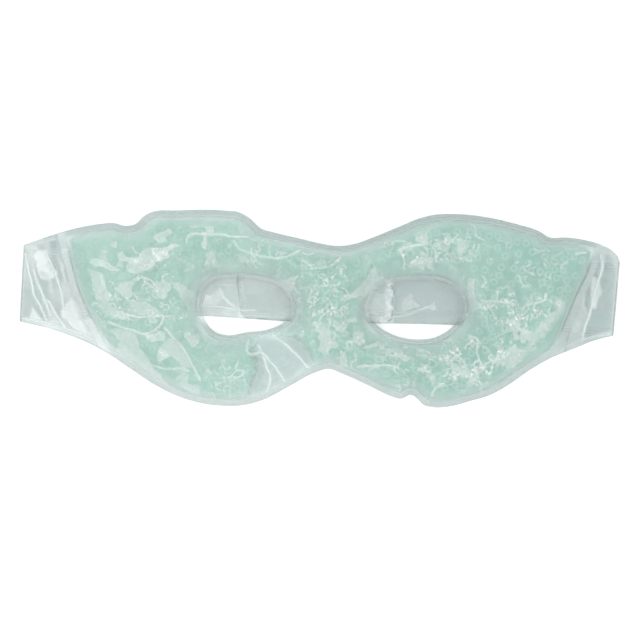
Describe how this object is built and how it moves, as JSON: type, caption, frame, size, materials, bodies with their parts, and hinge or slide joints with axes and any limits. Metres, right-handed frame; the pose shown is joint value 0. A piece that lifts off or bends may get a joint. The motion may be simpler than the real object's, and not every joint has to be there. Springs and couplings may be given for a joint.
{
  "type": "gel eye mask",
  "caption": "Reusable gel-bead eye mask: two clear films welded round a pale teal gel chamber with eye openings, and a folded two-part strap with a hook-and-loop closure.",
  "frame": {"origin": "centre of the object's footprint, on the table it lies on", "axes": "+X to the viewer's right along the mask, +Y towards the brow edge, +Z out of the front of the mask, which lies face up"},
  "size_m": [0.2408, 0.079, 0.0111],
  "materials": {
    "clear_film": "clear, glossy soft vinyl with creases",
    "gel": "pale teal translucent gel",
    "beads": "small translucent hydrogel beads",
    "hook_and_loop": "translucent white hook-and-loop tape"
  },
  "bodies": {
    "mask": {"front_film": "clear_film", "back_film": "clear_film", "carrier_gel": "gel", "gel_beads": "beads"},
    "left_strap": {"left_strap_outer_film": "clear_film", "left_strap_inner_film": "clear_film", "hook_pad": "hook_and_loop"},
    "right_strap": {"right_strap_outer_film": "clear_film", "right_strap_inner_film": "clear_film", "loop_pad": "hook_and_loop"}
  },
  "joints": [
    {"name": "right_fold", "type": "hinge", "parent": "mask", "child": "right_strap", "pos_m": [0.1189, 0.0039, 0.00183], "axis": [-0.0881, -0.9961, 0], "range_deg": [0, 180]},
    {"name": "left_fold", "type": "hinge", "parent": "mask", "child": "left_strap", "pos_m": [-0.1192, 0.0101, 0.00183], "axis": [0.0522, 0.9986, 0], "range_deg": [0, 180]}
  ]
}
